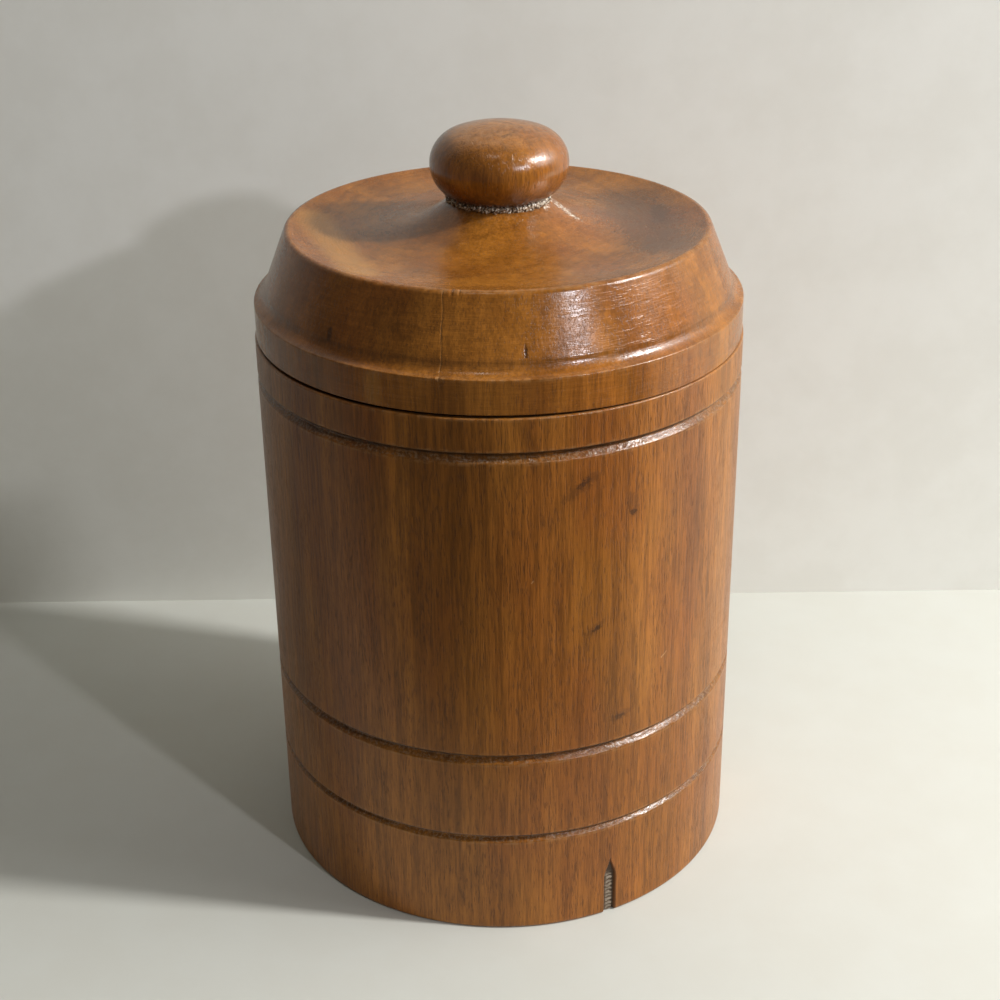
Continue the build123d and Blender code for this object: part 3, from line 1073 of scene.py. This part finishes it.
half, front = stage["floorHalf"], stage["floorFront"]
floor = flatSheet("floor", [(-half, front, 0), (half, front, 0), (half, half, 0), (-half, half, 0)])
floor.data.materials.append(stageMaterial("paleFloor", stage["floorTone"], False))
wallY, top = stage["wallBehind"], stage["wallHeight"]
wall = flatSheet(
    "backdrop", [(-half, wallY, 0), (half, wallY, 0), (half, wallY, top), (-half, wallY, top)]
)
wall.data.materials.append(stageMaterial("paleWall", stage["wallTone"], True))

# Light: a small and a wide lamp on the right, a weak one in front, one above, and a soft room
lamps = {
    "key": {"at": (0.688, -0.157, 0.596), "size": 0.07, "power": 6.9, "colour": (1.0, 0.98, 0.96)},
    "glow": {"at": (0.738, -0.089, 0.533), "size": 0.50, "power": 3.1, "colour": (1.0, 0.98, 0.96)},
    "front": {"at": (0.44, -0.55, 0.42), "size": 0.035, "power": 1.3, "colour": (0.96, 0.94, 1.0)},
    "ceiling": {"at": (-0.12, -0.42, 1.15), "size": 0.10, "power": 0.5, "colour": (1.0, 0.97, 0.92)},
}
aim = Vector((0, 0, 0.09))
for name, lamp in lamps.items():
    light = bpy.data.lights.new(name, "AREA")
    light.shape = "DISK"
    light.size = lamp["size"]
    light.energy = lamp["power"]
    light.color = lamp["colour"]
    holder = bpy.data.objects.new(name, light)
    holder.location = lamp["at"]
    holder.rotation_euler = (aim - Vector(lamp["at"])).to_track_quat("-Z", "Y").to_euler()
    bpy.context.collection.objects.link(holder)

room = {"colour": (1.0, 0.93, 0.76, 1.0), "strength": 0.10}
world = bpy.data.worlds.new("softRoom")
bpy.context.scene.world = world
world.use_nodes = True
sky = world.node_tree
dim = sky.nodes["Background"]
dim.inputs["Color"].default_value = room["colour"]
dim.inputs["Strength"].default_value = room["strength"]
pale = sky.nodes.new("ShaderNodeBackground")        # what the camera sees past the table
pale.inputs["Color"].default_value = stage["beyondTone"]
seen = sky.nodes.new("ShaderNodeLightPath")
either = sky.nodes.new("ShaderNodeMixShader")
sky.links.new(seen.outputs["Is Camera Ray"], either.inputs[0])
sky.links.new(dim.outputs[0], either.inputs[1])
sky.links.new(pale.outputs[0], either.inputs[2])
sky.links.new(either.outputs[0], sky.nodes["World Output"].inputs["Surface"])

# Camera, fitted to the photograph's rings
eye = {
    "at": (0.0, -0.34496, 0.24571),
    "lens": 64.0,               # on a 36 mm wide sensor
    "yaw": 0.051,               # degrees
    "pitch": 26.253,            # down
    "roll": 0.782,
}
yaw, pitch, roll = (math.radians(eye[k]) for k in ("yaw", "pitch", "roll"))
forward = Vector((0, math.cos(pitch), -math.sin(pitch)))
down = Vector((0, -math.sin(pitch), -math.cos(pitch)))
turnLeft = Matrix.Rotation(yaw, 3, "Z")
forward, down, right = turnLeft @ forward, turnLeft @ down, turnLeft @ Vector((1, 0, 0))
rolledRight = right * math.cos(roll) + down * math.sin(roll)
rolledDown = down * math.cos(roll) - right * math.sin(roll)
cameraData = bpy.data.cameras.new("camera")
cameraData.lens = eye["lens"]
cameraData.sensor_width = 36.0
camera = bpy.data.objects.new("camera", cameraData)
axes = Matrix((rolledRight, -rolledDown, -forward)).transposed()
camera.matrix_world = Matrix.Translation(Vector(eye["at"])) @ axes.to_4x4()
bpy.context.collection.objects.link(camera)
bpy.context.scene.camera = camera
bpy.context.scene.view_settings.view_transform = "Standard"
print("stage 6: floor, lamps and camera placed")
